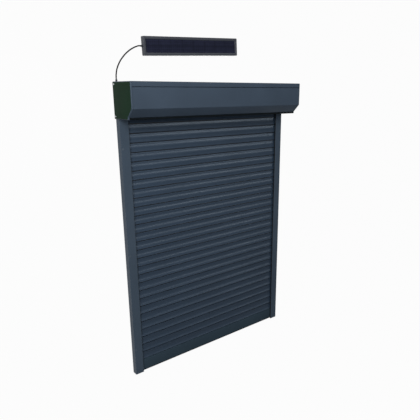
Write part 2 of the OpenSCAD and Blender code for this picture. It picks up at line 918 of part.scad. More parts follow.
// Four rubber strips: a base in its groove, a lip towards the slats and a cover on the rail's mouth
module rail_seals() {
    top = box_z0 - inlet_drop - seal_top_room;
    lip_end = max(slat_depth, bar_t) / 2 + seal_lip_room;
    lip = pocket_w / 2 + seal_d - fit - lip_end;
    cover_x = -seal_set - seal_cover_t;
    color(rubber_colour)
        both_sides()
            for (face = [0, 1])
                translate([rail_mouth + seal_set, curtain_y, 0])
                    mirror([0, face, 0]) {
                        linear_extrude(top) {
                            translate([fit, pocket_w / 2 - seal_cover_t])
                                square([seal_w - 2 * fit, seal_cover_t + seal_d - fit]);
                            translate([seal_w / 2 - seal_lip_w / 2, lip_end])
                                square([seal_lip_w, lip]);
                            translate([cover_x, pocket_w / 2 - seal_cover_t])
                                square([seal_w - fit - cover_x, seal_cover_t]);
                        }
                        linear_extrude(box_z0 - fit)
                            translate([cover_x, pocket_w / 2 - seal_cover_t])
                                square([seal_cover_t, seal_cover_w]);
                    }
}

// Flared guides in the tops of the rails: a front cheek, a back cheek and an end wall
module rail_inlets() {
    bottom = box_z0 - inlet_drop;
    top = box_z0 + inlet_flare_h;
    inlet_l = pocket_l - fit;
    end_t = slat_end_room - clip_head_t - 2 * fit;
    throat = pocket_w / 2 - fit;
    color(plastic_colour)
        both_sides() {
            between_x(rail_mouth + fit, rail_mouth + inlet_l)
                translate([curtain_y, 0]) {
                    sheet([[-throat, bottom], [-throat, box_z0], [-throat - inlet_flare_y, top]], -inlet_t);
                    translate([throat - inlet_t, bottom])
                        square([inlet_t, top - bottom]);
                }
            between_x(rail_mouth + inlet_l - end_t, rail_mouth + inlet_l)
                translate([curtain_y - throat, bottom])
                    square([2 * throat, top - bottom]);
        }
}

// Foot plugs in the rails' chambers and caps over the access holes
module rail_plugs() {
    color(plastic_colour)
        both_sides() {
            translate([rail_mouth + chamber_x0 + fit, -rail_d + rail_wall + fit, 0])
                cube([chamber_w - 2 * fit, chamber_d - 2 * fit, foot_plug_l]);
            for (z = fix_heights)
                translate([rail_mouth + fix_x, -rail_d, z])
                    rotate([90, 0, 0]) {
                        translate([0, 0, -rail_wall - hole_cap_reach])
                            cylinder(d = fix_access_d - 2 * fit, h = rail_wall + hole_cap_reach);
                        cylinder(d = fix_access_d + 2 * hole_cap_rim, h = hole_cap_t);
                    }
        }
}

// Solar panel

// Turns what is drawn about the panel's middle to its place on the wall
module on_wall() {
    translate([panel_x, 0, panel_z])
        rotate([0, -panel_tilt, 0])
            children();
}

// A round-cornered plate in X and Z about the middle, from y0 towards the wall
module upright_plate(width, height, radius, y0, depth) {
    translate([-width / 2, y0 + depth, -height / 2])
        rotate([90, 0, 0])
            linear_extrude(depth)
                round_rect(width, height, radius);
}

// Shallow frame, open at the back, with a front border over the cell plate
module panel_frame() {
    color(coat_colour)
        on_wall()
            difference() {
                upright_plate(panel_w, panel_h, panel_round, panel_y0, panel_d);
                upright_plate(panel_w - 2 * panel_wall, panel_h - 2 * panel_wall, panel_round / 2,
                              panel_y0 + panel_wall, panel_d);
                upright_plate(panel_w - 2 * panel_border, panel_h - 2 * panel_border, window_round,
                              panel_y0 - over, panel_wall + 2 * over);
                translate([-panel_w / 2 - over, panel_gland_y, 0])
                    rotate([0, 90, 0])
                        cylinder(d = cable_d + 2 * fit, h = panel_wall + 2 * over);
            }
}

module panel_cells() {
    inset = panel_wall + fit;
    color(cell_colour)
        on_wall()
            upright_plate(panel_w - 2 * inset, panel_h - 2 * inset, panel_round / 2,
                          panel_y0 + panel_wall, cells_t);
}

// Two bars across the frame's back, each with a spacer and a wall hole
module panel_brackets() {
    bar_l = panel_h - 2 * panel_wall - 2 * fit;
    color(steel_colour)
        on_wall()
            for (x = [-bracket_pitch / 2, bracket_pitch / 2])
                translate([x, 0, 0])
                    difference() {
                        union() {
                            translate([-bracket_w / 2, -panel_stand - panel_bracket_t, -bar_l / 2])
                                cube([bracket_w, panel_bracket_t, bar_l]);
                            rotate([90, 0, 0])
                                cylinder(d = spacer_d, h = panel_stand + over);
                        }
                        rotate([90, 0, 0])
                            translate([0, 0, -over])
                                cylinder(d = panel_hole_d, h = panel_stand + panel_bracket_t + 2 * over);
                    }
}

// One gland stands on the box and the other on the panel's left edge
module cable_glands() {
    color(plastic_colour) {
        translate([gland_x, gland_y, shutter_h])
            gland();
        on_wall()
            translate([-panel_w / 2, panel_gland_y, 0])
                rotate([0, -90, 0])
                    gland();
    }
}

// A stepped gland, with a stem in the wall below it
module gland() {
    cylinder(d = gland_d, h = gland_nut_l);
    cylinder(d = cable_d + 2 * gland_wall, h = gland_l);
    translate([0, 0, -gland_stem_l])
        cylinder(d = cable_d, h = gland_stem_l + over);
}

// A smooth curve through the cable's points
function route_at(p, i, t) =
    let (a = p[max(i - 1, 0)])
    let (b = p[i])
    let (c = p[i + 1])
    let (d = p[min(i + 2, len(p) - 1)])
    0.5 * (2 * b + t * (c - a) + t * t * (2 * a - 5 * b + 4 * c - d)
        + t * t * t * (3 * b - a - 3 * c + d));
// A ring of points round the cable, square to its glands at both ends
function cable_ring(points, i) =
    let (last = len(points) - 1)
    let (along = i == 0 ? [0, 0, 1]
        : i == last ? [cos(panel_tilt), 0, sin(panel_tilt)]
        : unit(points[i + 1] - points[i - 1]))
    let (side = unit(cross(along, [0, 1, 0])))
    let (front = cross(side, along))
    [for (k = [0 : cable_sides - 1])
        let (turn = 360 * k / cable_sides)
        points[i] + cable_d / 2 * (cos(turn) * side + sin(turn) * front)];

module solar_cable() {
    steps = 2;
    inner = len(cable_route) - 2;
    points = concat(
        [for (i = [0 : inner], s = [0 : steps - 1]) route_at(cable_route, i, s / steps)],
        [cable_route[inner + 1]]);
    rings = len(points);
    n = cable_sides;
    color(rubber_colour)
        polyhedron(
            points = [for (i = [0 : rings - 1]) each cable_ring(points, i)],
            faces = concat(
                [[for (k = [0 : n - 1]) k]],
                [[for (k = [n - 1 : -1 : 0]) (rings - 1) * n + k]],
                [for (i = [0 : rings - 2], k = [0 : n - 1])
                    [i * n + k, (i + 1) * n + k, (i + 1) * n + (k + 1) % n, i * n + (k + 1) % n]]));
}

left_end_cap();
right_end_cap();
box_back_panel();
box_top_panel();
box_front_cover();
box_underside();
box_screws();
winding_tube();
motor_tube();
motor_head();
motor_bracket();
limit_crown();
drive_wheel();
idler_cap();
idler_bearing();
battery_pack();
hanger_straps();
slat_end_clips();
bottom_bar();
bottom_seal();
bar_stops();
left_rail();
right_rail();
rail_seals();
rail_inlets();
rail_plugs();
panel_frame();
panel_cells();
panel_brackets();
cable_glands();
solar_cable();
for (i = [0 : slat_count - 1])
    slat(i);
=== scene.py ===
"""Dresses an outside roller shutter: sheets, slats, seals and solar panel, with their finishes."""

import json
import math

import bmesh
import bpy
from bpy.props import FloatProperty, FloatVectorProperty, PointerProperty
from mathutils import Matrix, Vector


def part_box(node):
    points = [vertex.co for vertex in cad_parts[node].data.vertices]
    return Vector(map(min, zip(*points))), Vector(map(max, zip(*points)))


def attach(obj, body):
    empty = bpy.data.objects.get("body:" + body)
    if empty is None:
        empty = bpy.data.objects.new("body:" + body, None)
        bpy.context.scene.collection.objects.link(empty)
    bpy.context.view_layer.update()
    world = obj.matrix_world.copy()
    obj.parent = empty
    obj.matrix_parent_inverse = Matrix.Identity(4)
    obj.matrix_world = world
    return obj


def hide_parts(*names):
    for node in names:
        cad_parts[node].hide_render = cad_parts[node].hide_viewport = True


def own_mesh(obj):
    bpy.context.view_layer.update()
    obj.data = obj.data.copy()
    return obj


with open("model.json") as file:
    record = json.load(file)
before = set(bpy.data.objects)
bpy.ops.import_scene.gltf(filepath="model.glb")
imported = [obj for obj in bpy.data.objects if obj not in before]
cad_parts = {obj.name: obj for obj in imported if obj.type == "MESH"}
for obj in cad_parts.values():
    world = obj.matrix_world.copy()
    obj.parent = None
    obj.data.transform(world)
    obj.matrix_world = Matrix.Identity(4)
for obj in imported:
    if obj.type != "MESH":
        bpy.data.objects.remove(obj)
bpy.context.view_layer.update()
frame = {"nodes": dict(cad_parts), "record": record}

bl_info = {
    "name": "Outside roller shutter",
    "version": (1, 0, 0),
    "blender": (4, 5, 0),
    "location": "View3D > Sidebar > Shutter",
    "description": "Dresses the shutter with finishes, rounded sheets, slats and a studio",
    "category": "Object",
}

# Bodies that the pieces ride on
FIXED = "frame"
LIFTED = "bar"

# Room of a plug or tongue in its seat, and the break of a fine edge, in metres
FIT = 0.0002
FINE_EDGE = 0.0004
# Points closer than this become one, and the slack of a test on a point's place, in metres
WELD = 1e-6
NEAR = 1e-5
# Angles in degrees from which an edge stays sharp: on strip, on mouldings and on the rest
STRIP_SHARP = 25.0
MOULD_SHARP = 30.0
SHARP = 40.0
# Steps along a slat's curves and round its bead, along its hollow, and round a turned piece
CURVE_STEPS = 12
HOLLOW_STEPS = 8
TURNED_SIDES = 24
# Steps of the roundings: of a cap's edge, of a bend or a frame's corner, and of a small edge
CAP_STEPS = 6
BEND_STEPS = 4
EDGE_STEPS = 2


# Places that the frame gives, in metres

def corner(node, end, axis):
    """One coordinate of a node's lowest (0) or highest (1) corner."""
    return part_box(node)[end]["xyz".index(axis)]


BOX_TOP = corner("box_top_panel", 1, "z")
BOX_BOTTOM = corner("box_underside", 0, "z")
BOX_FRONT = corner("box_front_cover", 0, "y")
BOX_END = corner("right_end_cap", 1, "x")
SHEET_END = corner("box_top_panel", 1, "x")
SLAT_END = corner("slat_01", 1, "x")
SLAT_PITCH = corner("slat_02", 0, "z") - corner("slat_01", 0, "z")
SLATS = sorted(name for name in frame["nodes"] if name.startswith("slat_") and name[-1].isdigit())
CURTAIN_Y = (corner("bottom_bar", 0, "y") + corner("bottom_bar", 1, "y")) / 2
PANEL_MIDDLE = (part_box("panel_frame")[0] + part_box("panel_frame")[1]) / 2


# Sizes and colours that a user would change

def linear(code):
    """Linear colour of an sRGB hex value."""
    channels = [int(code[i:i + 2], 16) / 255 for i in (1, 3, 5)]
    return [c / 12.92 if c <= 0.04045 else ((c + 0.055) / 1.055) ** 2.4 for c in channels]


def length(name, description, default):
    """A length in metres."""
    return FloatProperty(name=name, description=description, default=default, min=0.0,
                         precision=4, unit="LENGTH", subtype="DISTANCE")


def colour(name, description, code):
    """A colour, given by its sRGB hex value."""
    return FloatVectorProperty(name=name, description=description, default=linear(code), size=3,
                               min=0.0, max=1.0, subtype="COLOR")


class BoxSizes(bpy.types.PropertyGroup):
    """Sizes of the box sheets, the end caps and their screws."""

    sheet: length("Sheet", "Thickness of the box sheets", 0.0015)
    bend: length("Bend", "Outer radius of the bends in the sheets", 0.0025)
    seam: length("Seam", "Open joint between the sheets and the end caps", 0.0007)
    bevel: length("Bevel", "Bevel along the lower front edge", 0.032)
    under_lip: length("Under lip", "Upright edge below the bevel", 0.008)
    lip: length("Front lip", "Height of the top panel's front lip", 0.0185)
    joint: length("Lip joint", "Open joint under the front lip", 0.002)
    tuck: length("Tuck", "How far the cover reaches up behind the lip", 0.006)
    tuck_room: length("Tuck room", "Room between the cover and the lip", 0.005)
    slot_edge: length("Slot edge", "Height of the upright edge before the curtain slot", 0.010)
    cap_round: length("Cap rounding", "Rounding of the end caps' outer edges", 0.005)
    screw_y: length("Screw depth", "Distance of the screws from the wall", 0.013)
    screw_z: length("Screw height", "Distance of the screws from top and bottom", 0.010)
    tongue: length("Tongue", "Width of the end caps' tongues behind the sheets", 0.040)
    tongue_t: length("Tongue wall", "Thickness of the tongues", 0.0025)
    peg_x: length("Peg place", "Distance of the rail pegs from the box's middle", 0.4325)
    peg_w: length("Peg width", "Width of the rail pegs", 0.009)
    peg_d: length("Peg depth", "Depth of the rail pegs", 0.023)
    peg_y: length("Peg set", "Distance of the rail pegs from the wall", 0.002)
    peg_foot: length("Peg foot", "Height of the bar that joins a peg to its cap", 0.0056)


class CurtainSizes(bpy.types.PropertyGroup):
    """Sizes of the slats and the bottom bar."""

    slat: length("Slat", "Thickness of a slat", 0.0054)
    dish: length("Dish", "Depth of a slat's hollow front", 0.0022)
    groove: length("Groove", "Room between the shoulders of two slats", 0.004)
    wall: length("Wall", "Wall thickness of the slats", 0.0009)
    arris: length("Arris", "Rounding of a slat's front edges", 0.0009)
    bead: length("Bead", "Diameter of the bead that hooks into the next slat", 0.0026)
    neck: length("Neck", "Thickness of the neck that carries the bead", 0.001)
    play: length("Hook play", "Room around the bead and the neck", 0.0005)
    hook_lip: length("Hook lip", "Thickness of the slat under the bead", 0.0014)
    clip: length("Clip", "Thickness of the heads of the slat end clips", 0.0015)
    clip_stem: length("Clip stem", "Length of the clips inside the slats", 0.015)
    bar: length("Bar", "Thickness of the bottom bar", 0.008)
    bar_wall: length("Bar wall", "Wall thickness of the bottom bar", 0.0013)
    bar_arris: length("Bar arris", "Rounding of the bar's edges", 0.0012)
    seal: length("Seal", "Height of the rubber seal under the bar", 0.005)
    seal_stem: length("Seal stem", "Height of the seal's stem inside the bar", 0.004)
    seal_slot: length("Seal slot", "Width of the bar's slot for that stem", 0.0034)


class PanelSizes(bpy.types.PropertyGroup):
    """Sizes of the solar panel, its glands and its cable."""

    width: length("Width", "Width of the panel", 0.469)
    height: length("Height", "Height of the panel", 0.070)
    tilt: FloatProperty(
        name="Turn", description="Turn of the panel on the wall, with its right end up",
        default=math.radians(2.5), unit="ROTATION", subtype="ANGLE")
    border: length("Border", "Width of the frame's front border", 0.0105)
    wall: length("Frame wall", "Wall thickness of the frame", 0.002)
    slope: length("Slope", "Width of the border's sloping inner edge", 0.003)
    edge: length("Edge", "Rounding of the frame's front edge", 0.0015)
    turn: length("Corner", "Rounding of the frame's corners", 0.003)
    cell: length("Cell", "Width of one solar cell", 0.056)
    cell_gap: length("Cell gap", "Gap between two cells", 0.0022)
    finger: length("Finger", "Spacing of the fine lines on the cells", 0.0095)
    finger_w: length("Finger width", "Width that the fine lines are drawn at", 0.0015)
    cable: length("Cable", "Diameter of the cable", 0.005)
    gland: length("Gland", "Width of the glands", 0.009)


class Colours(bpy.types.PropertyGroup):
    """Colours of the finishes."""

    box: colour("Box coat", "Coat of the box sheets", "#3f4a57")
    slat: colour("Slat coat", "Coat of the slats", "#2d3a49")
    # Near-black: painted shade in the grooves between the slats
    back: colour("Back lacquer", "Lacquer on the slats' hooks", "#080d16")
    rail: colour("Rail coat", "Coat of the guide rails", "#3d4854")
    bar: colour("Bar coat", "Coat of the bottom bar", "#303d47")
    # Dark green: the caps are the box's coat, and this tone is painted shade and a painted green
    # reflection on their sides
    cap: colour("Cap coat", "Coat of the end caps", "#192c1f")
    # Near-black: painted shade under the box's bevel
    underside: colour("Underside", "Coat of the box's underside", "#111518")
    panel: colour("Panel frame", "Coat of the solar panel's frame", "#3e4046")
    cell: colour("Cells", "Solar cells under their glass", "#1a1c2b")
    rubber: colour("Rubber", "Seals", "#101214")
    cable: colour("Cable", "Sheath of the cable", "#060708")
    plastic: colour("Plastic", "Moulded pieces", "#22272b")
    steel: colour("Zinc", "Plated steel", "#b4b8ba")
    motor: colour("Motor can", "Painted motor can", "#d4d7d9")


# Finishes

# Values that most of a noise lies between
NOISE_SPAN = (0.3, 0.7)


def per_mm(size):
    """Texture scale for a pattern of that size in millimetres."""
    return 1000.0 / size


def add(tree, kind, inputs=None, **settings):
    """A node with its settings, and with values or links on its inputs."""
    node = tree.nodes.new(kind)
    for name, value in settings.items():
        setattr(node, name, value)
    for name, value in (inputs or {}).items():
        if isinstance(value, bpy.types.NodeSocket):
            tree.links.new(value, node.inputs[name])
        else:
            node.inputs[name].default_value = value
    return node


def blank(name, **values):
    """A new material with its tree, its shader and the place on the object."""
    material = bpy.data.materials.new(name)
    material.use_nodes = True
    tree = material.node_tree
    shader = tree.nodes["Principled BSDF"]
    for socket, value in values.items():
        shader.inputs[socket.replace("_", " ")].default_value = value
    place = add(tree, "ShaderNodeTexCoord").outputs["Object"]
    return material, tree, shader, place


def shade(tone, share):
    """A colour made lighter or darker, with its alpha."""
    return (*[channel * share for channel in tone], 1.0)


def mottle(tree, shader, place, tone, size, depth):
    """Base colour that drifts between a darker and a lighter tone, in patches of that size."""
    cloud = add(tree, "ShaderNodeTexNoise",
                {"Vector": place, "Scale": per_mm(size), "Detail": 3.0, "Roughness": 0.55})
    spread = add(tree, "ShaderNodeMapRange",
                 {"Value": cloud.outputs["Fac"],
                  "From Min": NOISE_SPAN[0], "From Max": NOISE_SPAN[1]})
    # A colour mix takes its share on input 0 and its colours on 6 and 7, and gives output 2
    mix = add(tree, "ShaderNodeMix",
              {0: spread.outputs["Result"], 6: shade(tone, 1 - depth), 7: shade(tone, 1 + depth)},
              data_type="RGBA")
    tree.links.new(mix.outputs[2], shader.inputs["Base Color"])
    return mix


def grain(tree, shader, place, size, height, rough, spread, squeeze=(1.0, 1.0, 1.0)):
    """Fine relief of that size in millimetres, and roughness that follows it. A squeeze under 1
    draws it out along that axis."""
    drawn = add(tree, "ShaderNodeMapping", {"Vector": place, "Scale": squeeze})
    fine = add(tree, "ShaderNodeTexNoise",
               {"Vector": drawn.outputs["Vector"], "Scale": per_mm(size), "Detail": 2.0,
                "Roughness": 0.6})
    bump = add(tree, "ShaderNodeBump",
               {"Height": fine.outputs["Fac"], "Distance": height / 1000, "Strength": 0.6})
    tree.links.new(bump.outputs["Normal"], shader.inputs["Normal"])
    gloss = add(tree, "ShaderNodeMapRange",
                {"Value": fine.outputs["Fac"], "From Min": NOISE_SPAN[0], "From Max": NOISE_SPAN[1],
                 "To Min": rough - spread, "To Max": rough + spread})
    tree.links.new(gloss.outputs["Result"], shader.inputs["Roughness"])


def powder_coat(name, tone, rough, gloss, cloud_mm=160.0, depth=0.07):
    """Polyester powder baked on aluminium: satin, with a soft orange peel and slow drifts of tone.
    The real peel is 1 to 2 mm wide and is drawn at 4 mm, so that it shows."""
    material, tree, shader, place = blank(name, IOR=1.5, Specular_IOR_Level=gloss)
    mottle(tree, shader, place, tone, cloud_mm, depth)
    grain(tree, shader, place, 4.0, 0.05, rough, 0.04)
    return material


def coil_coat(name, tone, rough):
    """Lacquer rolled on slat strip before it is formed: smoother than powder, with faint lengthwise
    streaks. The streaks are a millimetre wide and are drawn at 3 mm, so that they show."""
    material, tree, shader, place = blank(name, IOR=1.5)
    mottle(tree, shader, place, tone, 220.0, 0.06)
    grain(tree, shader, place, 3.0, 0.02, rough, 0.05, (0.02, 1.0, 1.0))
    return material


def moulded_plastic(name, tone):
    """Injection-moulded ABS with an eroded texture: dull, with a half-millimetre grit that is drawn
    at 1.5 mm, so that it shows."""
    material, tree, shader, place = blank(name, IOR=1.53)
    mottle(tree, shader, place, tone, 40.0, 0.08)
    grain(tree, shader, place, 1.5, 0.06, 0.5, 0.06)
    return material


def extruded_rubber(name, tone):
    """Extruded EPDM rubber: nearly black and dull, with die lines and a little bloom in patches."""
    material, tree, shader, place = blank(name, IOR=1.5, Specular_IOR_Level=0.3)
    mottle(tree, shader, place, tone, 25.0, 0.25)
    grain(tree, shader, place, 1.2, 0.05, 0.7, 0.06, (1.0, 1.0, 0.05))
    return material


def cable_sheath(name, tone):
    """PVC cable sheath: black and smooth, with a soft sheen and faint handling marks."""
    material, tree, shader, place = blank(name, IOR=1.53, Specular_IOR_Level=0.15)
    mottle(tree, shader, place, tone, 12.0, 0.2)
    grain(tree, shader, place, 2.0, 0.03, 0.5, 0.05)
    return material


def zinc_plate(name, tone, rough=0.34):
    """Zinc-plated steel: bright grey with the crystal patches of the plating, 6 mm across."""
    material, tree, shader, place = blank(name, Metallic=1.0)
    spangle = add(tree, "ShaderNodeTexVoronoi", {"Vector": place, "Scale": per_mm(6.0)})
    patch = add(tree, "ShaderNodeSeparateColor", {"Color": spangle.outputs["Color"]})
    mix = add(tree, "ShaderNodeMix",
              {0: patch.outputs["Red"], 6: shade(tone, 0.82), 7: shade(tone, 1.0)},
              data_type="RGBA")
    tree.links.new(mix.outputs[2], shader.inputs["Base Color"])
    grain(tree, shader, place, 1.5, 0.02, rough, 0.08)
    return material


def spring_steel(name, tone):
    """Blued spring steel band: dark metal, drawn lengthwise, with scratches a millimetre apart."""
    material, tree, shader, place = blank(name, Metallic=1.0)
    mottle(tree, shader, place, tone, 15.0, 0.15)
    grain(tree, shader, place, 1.0, 0.02, 0.38, 0.08, (1.0, 0.1, 0.1))
    return material


def solar_glass(name, tone, sizes):
    """Silicon cells under tempered glass: nearly black blue, with fine paler lines, wider dark gaps
    between the cells and a clear gloss. The real lines are 0.2 mm wide and 2 mm apart, and are
    drawn coarser, so that they show."""
    material, tree, shader, place = blank(name, IOR=1.5, Roughness=0.3, Specular_IOR_Level=0.1,
                                          Coat_Weight=0.35, Coat_Roughness=0.08)
    axes = add(tree, "ShaderNodeSeparateXYZ", {"Vector": place})

    def lines(axis, pitch, width):
        """1 on thin lines across that axis, and 0 between them."""
        wave = add(tree, "ShaderNodeMath", {0: axes.outputs[axis], 1: pitch, 2: 0.0},
                   operation="WRAP")
        line = add(tree, "ShaderNodeMath", {0: wave.outputs[0], 1: width}, operation="LESS_THAN")
        return line.outputs[0]

    def grid(pitch_x, pitch_z, width):
        """1 on the lines of a grid, and 0 in its fields."""
        both = add(tree, "ShaderNodeMath",
                   {0: lines("X", pitch_x, width), 1: lines("Z", pitch_z, width)},
                   operation="MAXIMUM")
        return both.outputs[0]

    fingers = grid(sizes.finger, sizes.finger, sizes.finger_w)
    gaps = grid(sizes.cell, sizes.cell / 2, sizes.cell_gap)
    cells = mottle(tree, shader, place, tone, 30.0, 0.25)
    drawn = add(tree, "ShaderNodeMix", {0: fingers, 6: cells.outputs[2], 7: shade(tone, 1.6)},
                data_type="RGBA")
    cut = add(tree, "ShaderNodeMix", {0: gaps, 6: drawn.outputs[2], 7: shade(tone, 0.7)},
              data_type="RGBA")
    tree.links.new(cut.outputs[2], shader.inputs["Base Color"])
    return material


FINISHES = {}


def make_finishes(scene):
    """All finishes, under the names of the record's material slots."""
    tones = scene.shutter_colours
    # Powder coats: roughness, gloss, and the size in millimetres and depth of the drifts of tone
    FINISHES.update({
        "box_coat": powder_coat("powder_coat_box", tones.box, 0.42, 0.06),
        "rail_coat": powder_coat("powder_coat_rails", tones.rail, 0.38, 0.1),
        "bar_coat": powder_coat("powder_coat_bar", tones.bar, 0.45, 0.06),
        # The end caps' dark green is painted shade and a painted green reflection on the box's coat
        "end_cap_coat": powder_coat("powder_coat_end_caps_shade_and_reflection", tones.cap, 0.4, 0.02, 60.0, 0.1),
        # The underside's near-black coat is painted shade under the bevel
        "underside_coat": powder_coat("powder_coat_underside_shade", tones.underside, 0.55, 0.05),
        "panel_frame_coat": powder_coat("powder_coat_panel_frame", tones.panel, 0.42, 0.3, 80.0),
        "slat_coat": coil_coat("coil_coat_slats", tones.slat, 0.25),
        # The near-black lacquer on the necks and beads is painted shade for the grooves between the
        # slats
        "groove_shade_lacquer": coil_coat("groove_shade_lacquer_slats", tones.back, 0.5),
        "black_rubber": extruded_rubber("extruded_rubber", tones.rubber),
        "cable_sheath": cable_sheath("pvc_sheath", tones.cable),
        "dark_plastic": moulded_plastic("moulded_abs", tones.plastic),
        "matched_plastic": moulded_plastic("moulded_abs_rail_colour", tones.rail),
        "galvanised_steel": zinc_plate("zinc_plated_steel", tones.steel),
        "screw_steel": zinc_plate("zinc_plated_screws", tones.steel, 0.28),
        "spring_steel": spring_steel("blued_spring_steel", shade(tones.steel, 0.45)[:3]),
        "motor_can": powder_coat("painted_motor_can", tones.motor, 0.35, 0.5, 60.0, 0.03),
        "cell_glass": solar_glass("glazed_solar_cells", tones.cell, scene.panel_sizes),
    })


# Shapes

# Most of a side that the rounding of one corner takes
MOST_CUT = 0.45
# Share of a sheet's thickness that its raw edges are rounded by
RAW_EDGE = 0.25


def arc(centre, radius, start, end, steps):
    """Points on an arc, from one angle to another in degrees."""
    turns = [math.radians(start + (end - start) * i / steps) for i in range(steps + 1)]
    return [(centre[0] + radius * math.cos(t), centre[1] + radius * math.sin(t)) for t in turns]


def rounded(points, radii, steps=BEND_STEPS):
    """A closed outline with its corners turned into arcs."""
    outline = []
    for i, point in enumerate(points):
        here = Vector(point)
        back = Vector(points[i - 1]) - here
        ahead = Vector(points[(i + 1) % len(points)]) - here
        half = back.angle(ahead) / 2
        cut = min(radii[i] / math.tan(half), MOST_CUT * back.length, MOST_CUT * ahead.length)
        middle = here + (back.normalized() + ahead.normalized()).normalized() * cut / math.cos(half)
        first = here + back.normalized() * cut - middle
        last = here + ahead.normalized() * cut - middle
        start = math.degrees(math.atan2(first.y, first.x))
        turn = (math.degrees(math.atan2(last.y, last.x)) - start + 180) % 360 - 180
        outline += arc(middle, first.length, start, start + turn, steps)
    return outline


def mitres(path, closed):
    """For each point of a path, the sideways step to its left that keeps a unit distance."""
    count = len(path)
    steps = []
    for i in range(count):
        before = path[i] - path[i - 1] if closed or i else path[1] - path[0]
        after = path[(i + 1) % count] - path[i] if closed or i < count - 1 else before
        left = Vector((-before.y, before.x)).normalized()
        other = Vector((-after.y, after.x)).normalized()
        middle = (left + other).normalized()
        steps.append(middle / middle.dot(left))
    return steps


def bent_sheet(path, thickness, bend):
    """Outline of a bent sheet: its outer face is the path, and the metal lies to the left."""
    path = [Vector(point) for point in path]
    inner = [point + step * thickness for point, step in zip(path, mitres(path, False))]
    raw = (thickness * RAW_EDGE, thickness * RAW_EDGE)
    bent = (bend, bend - thickness)
    radii = [raw]
    for before, here, after in zip(path, path[1:], path[2:]):
        outward = (here - before).cross(after - here) > 0
        radii.append(bent if outward else bent[::-1])
    outer_r, inner_r = zip(*radii, raw)
    return rounded(path + inner[::-1], outer_r + inner_r[::-1])


def inset(points, distance):
    """A closed outline moved inwards; its points run with the inside to their left."""
    path = [Vector(point) for point in points]
    return [point + step * distance for point, step in zip(path, mitres(path, True))]


def skin(bm, near, far):
    """Faces between two rings of as many points."""
    for i in range(len(near)):
        bm.faces.new((near[i - 1], near[i], far[i], far[i - 1]))


def stack(bm, rings, closed=False):
    """Joins rings of as many points each. The ends are filled, unless they are joined too."""
    made = [[bm.verts.new(point) for point in ring] for ring in rings]
    ahead = made[1:] + (made[:1] if closed else [])
    for near, far in zip(made, ahead):
        skin(bm, near, far)
    if not closed:
        bm.faces.new(made[0])
        bm.faces.new(made[-1])


def fill(bm, loops):
    """Fills a flat face between an outer loop and the loops of its holes."""
    edges = [bm.edges.get((loop[i - 1], loop[i])) or bm.edges.new((loop[i - 1], loop[i]))
             for loop in loops for i in range(len(loop))]
    bmesh.ops.triangle_fill(bm, use_beauty=True, edges=edges)


def bar_along_x(bm, outline, x0, x1, holes=()):
    """A bar along X with that section in Y and Z, and with holes right through it."""
    loops = (outline, *holes)
    ends = [[[bm.verts.new((x, *point)) for point in loop] for loop in loops] for x in (x0, x1)]
    for near, far in zip(*ends):
        skin(bm, near, far)
    for end in ends:
        fill(bm, end)


def rectangle(left, right, low, high):
    """Corners of a rectangle, with the inside to their left."""
    return [(left, low), (right, low), (right, high), (left, high)]


def block(bm, low, high, edge):
    """A box with soft long edges."""
    outline = rounded(rectangle(low[1], high[1], low[2], high[2]), [edge] * 4, EDGE_STEPS)
    bar_along_x(bm, outline, low[0], high[0])


def turned(profile, place, axis, sides):
    """Rings of a turned shape: profile gives radius and height along the axis."""
    turn = Vector(axis).to_track_quat("Z", "Y").to_matrix()
    angles = [2 * math.pi * i / sides for i in range(sides)]
    return [[Vector(place) + turn @ Vector((r * math.cos(a), r * math.sin(a), h)) for a in angles]
            for r, h in profile]


def panel_place(sizes):
    """Where the panel hangs on the wall, turned a little about its middle."""
    middle = Vector((PANEL_MIDDLE.x, 0.0, PANEL_MIDDLE.z))
    return Matrix.Translation(middle) @ Matrix.Rotation(-sizes.tilt, 4, "Y")


def finish_node(node, finish=None):
    """Gives a carried-over node the finish of its material slot, or another one."""
    subparts = frame["record"]["subparts"]
    slot = next(part["material_slot"] for part in subparts if part["node"] == node)
    for holder in frame["nodes"][node].material_slots:
        holder.material = FINISHES[finish or slot]


def make_piece(name, bm, slot, body, nodes, sharp=SHARP, place=Matrix()):
    """Turns a mesh into a piece that rides on a body and stands for nodes."""
    bmesh.ops.remove_doubles(bm, verts=bm.verts, dist=WELD)
    bmesh.ops.recalc_face_normals(bm, faces=bm.faces)
    mesh = bpy.data.meshes.new(name)
    bm.to_mesh(mesh)
    bm.free()
    mesh.shade_smooth()
    mesh.set_sharp_from_angle(angle=math.radians(sharp))
    mesh.materials.append(FINISHES[slot])
    piece = bpy.data.objects.new(name, mesh)
    bpy.context.scene.collection.objects.link(piece)
    piece.matrix_world = place
    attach(piece, body)
    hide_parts(*nodes)
    return piece


# Stage

CAMERA_PLACE = Vector((-1.3262, -1.7111, 1.2145))
CAMERA_TILT = 72.93
CAMERA_TURN = -40.63
CAMERA_LENS = 40.67
CAMERA_SHIFT = (-0.0518, 0.0645)
FLOOR_Z = -2.5
BACKDROP_Y = 2.4
STAGE_HALF_WIDTH = 9.0
STAGE_FRONT = -9.0
STAGE_TOP = 6.0
STAGE_BEND = 1.2
STAGE_STEPS = 16
# Front and back of the strip where the paper turns white, and how far it does behind the object and
# in front of it, where the object's gloss shows the plain paper
PAPER_FADE = (-0.1, 0.45)
PAPER_GLOW = 0.97
FRONT_GLOW = 0.92
PAPER_TONE = (0.25, 0.25, 0.25)
# Light of the air, and the heights of its direction between which it grows
AIR_TONE = (0.93, 0.97, 1.0)
AIR_GLOW = (0.12, 0.6)
AIR_RISE = (0.0, 0.6)
# Soft lamps: place, the point they face, width and depth in metres, power in watts and tint.
# The slats show the low card as a light band. It leans away, so the band fades towards the sill.
# The back lamp lights the side to the wall
LAMPS = (("key", (-1.9, -1.95, 1.9), (0.0, 0.0, 0.7), 1.7, 1.7, 76.0, (1.0, 1.0, 1.0)),
         ("low_card", (4.6, -8.3, -1.65), (4.3, -10.3, 8.35), 4.6, 9.1, 465.0, (0.74, 0.87, 1.0)),
         ("back", (0.9, 2.1, 1.4), (0.0, 0.0, 0.7), 1.6, 0.8, 28.0, (1.0, 1.0, 1.0)))


